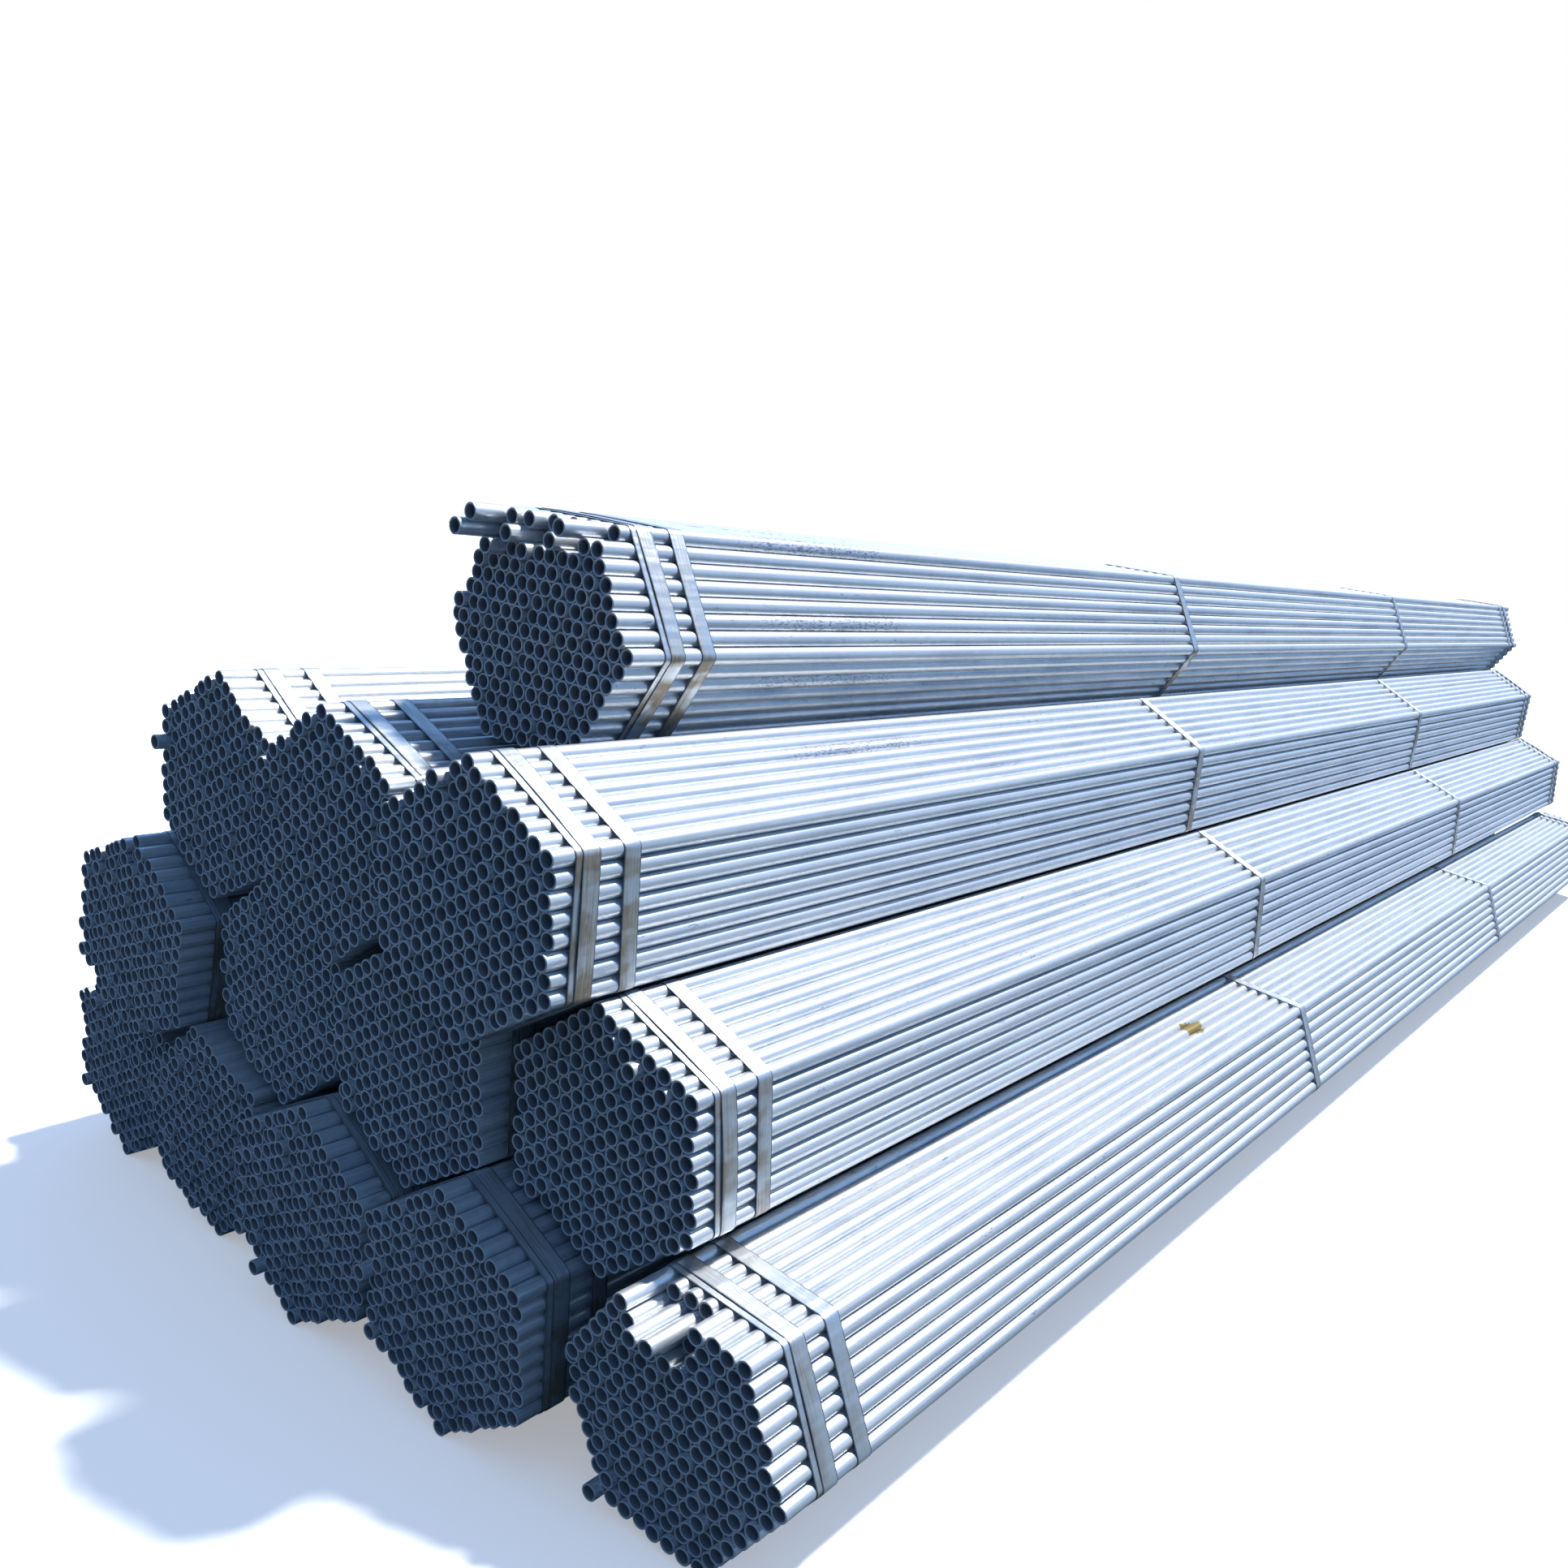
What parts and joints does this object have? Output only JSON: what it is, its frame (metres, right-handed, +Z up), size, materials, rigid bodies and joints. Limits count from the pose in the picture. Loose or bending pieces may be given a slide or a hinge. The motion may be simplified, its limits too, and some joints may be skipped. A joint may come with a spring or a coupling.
{
  "type": "stack of steel tubes",
  "caption": "Honeycomb stack of six-sided bundles of galvanised round steel tube, held by flat steel bands.",
  "frame": {"origin": "middle of the stack's base, on the ground", "axes": "+X along the tubes from their near ends to their far ends, +Y across the layers from the side with the odd turned bundle, +Z up"},
  "size_m": [6.777, 1.9424, 1.3478],
  "materials": {
    "galvanised_tube": "bright galvanised steel, faintly streaked along the tube, dull at the sawn ends",
    "galvanised_band": "flat galvanised strapping, light grey with a slight warm tint where it lies in shade"
  },
  "bodies": {
    "root": {"tubes_row1_a": "galvanised_tube", "bands_row1_a": "galvanised_band", "tubes_row1_b": "galvanised_tube", "bands_row1_b": "galvanised_band", "tubes_row1_c": "galvanised_tube", "bands_row1_c": "galvanised_band", "tubes_row1_d": "galvanised_tube", "bands_row1_d": "galvanised_band", "tubes_row1_e": "galvanised_tube", "bands_row1_e": "galvanised_band", "tubes_row2_a": "galvanised_tube", "bands_row2_a": "galvanised_band", "tubes_row2_b": "galvanised_tube", "bands_row2_b": "galvanised_band", "tubes_row2_c": "galvanised_tube", "bands_row2_c": "galvanised_band", "tubes_row2_d": "galvanised_tube", "bands_row2_d": "galvanised_band", "tubes_row3_a": "galvanised_tube", "bands_row3_a": "galvanised_band", "tubes_row3_b": "galvanised_tube", "bands_row3_b": "galvanised_band", "tubes_row3_c": "galvanised_tube", "bands_row3_c": "galvanised_band", "tubes_row4_a": "galvanised_tube", "bands_row4_a": "galvanised_band"}
  },
  "joints": []
}
